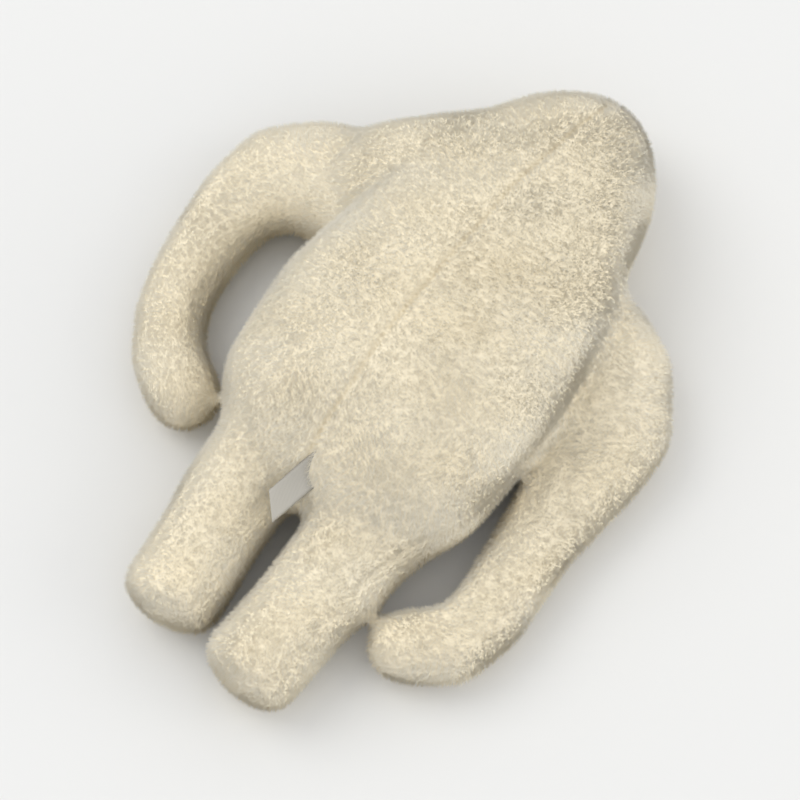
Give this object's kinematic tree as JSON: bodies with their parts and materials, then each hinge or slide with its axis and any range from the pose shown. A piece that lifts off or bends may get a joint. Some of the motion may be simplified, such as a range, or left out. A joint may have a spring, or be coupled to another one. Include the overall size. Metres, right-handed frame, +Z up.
{
  "type": "plush chicken",
  "caption": "Stuffed plush chicken with a tapering body, long tubular wings, short round-soled legs and a folded care label; neck, shoulders, elbows and hips bend.",
  "frame": {"origin": "middle of the flat of the belly, on the surface that the toy lies on", "axes": "+Y along the back towards the head, +Z up out of the back, +X to the toy's right side as it lies on its belly"},
  "size_m": [0.3222, 0.4179, 0.1138],
  "materials": {
    "pile_cream": "short soft pile",
    "fibre_filling": "loose white fibre",
    "satin_label": "woven satin"
  },
  "bodies": {
    "torso": {"torso_back_left": "pile_cream", "torso_back_right": "pile_cream", "torso_belly": "pile_cream", "torso_stuffing": "fibre_filling", "care_label": "satin_label"},
    "head": {"head_back_left": "pile_cream", "head_back_right": "pile_cream", "head_front": "pile_cream", "head_stuffing": "fibre_filling"},
    "wing_left_upper": {"wing_left_upper_top": "pile_cream", "wing_left_upper_under": "pile_cream", "wing_left_upper_stuffing": "fibre_filling"},
    "wing_left_fore": {"wing_left_fore_top": "pile_cream", "wing_left_fore_under": "pile_cream", "wing_left_fore_stuffing": "fibre_filling"},
    "leg_left": {"leg_left_top": "pile_cream", "leg_left_under": "pile_cream", "leg_left_sole": "pile_cream", "leg_left_stuffing": "fibre_filling"},
    "wing_right_upper": {"wing_right_upper_top": "pile_cream", "wing_right_upper_under": "pile_cream", "wing_right_upper_stuffing": "fibre_filling"},
    "wing_right_fore": {"wing_right_fore_top": "pile_cream", "wing_right_fore_under": "pile_cream", "wing_right_fore_stuffing": "fibre_filling"},
    "leg_right": {"leg_right_top": "pile_cream", "leg_right_under": "pile_cream", "leg_right_sole": "pile_cream", "leg_right_stuffing": "fibre_filling"}
  },
  "joints": [
    {"name": "neck", "type": "hinge", "parent": "torso", "child": "head", "pos_m": [-0.00508, 0.12, 0.04542], "axis": [1, 0, 0], "range_deg": [-12, 25]},
    {"name": "shoulder_left", "type": "hinge", "parent": "torso", "child": "wing_left_upper", "pos_m": [-0.083, 0.068, 0.0258], "axis": [0.1045, 0.9945, 0], "range_deg": [-15, 45]},
    {"name": "elbow_left", "type": "hinge", "parent": "wing_left_upper", "child": "wing_left_fore", "pos_m": [-0.14442, -0.03266, 0.0208], "axis": [0, 0, -1], "range_deg": [0, 60]},
    {"name": "hip_left", "type": "hinge", "parent": "torso", "child": "leg_left", "pos_m": [-0.039, -0.1, 0.0298], "axis": [-1, 0, 0], "range_deg": [-60, 30]},
    {"name": "shoulder_right", "type": "hinge", "parent": "torso", "child": "wing_right_upper", "pos_m": [0.083, 0.068, 0.0258], "axis": [0.1045, -0.9945, 0], "range_deg": [-15, 45]},
    {"name": "elbow_right", "type": "hinge", "parent": "wing_right_upper", "child": "wing_right_fore", "pos_m": [0.11995, -0.08321, 0.0208], "axis": [0, 0, 1], "range_deg": [0, 60]},
    {"name": "hip_right", "type": "hinge", "parent": "torso", "child": "leg_right", "pos_m": [0.039, -0.107, 0.0298], "axis": [-1, 0, 0], "range_deg": [-60, 30]}
  ]
}
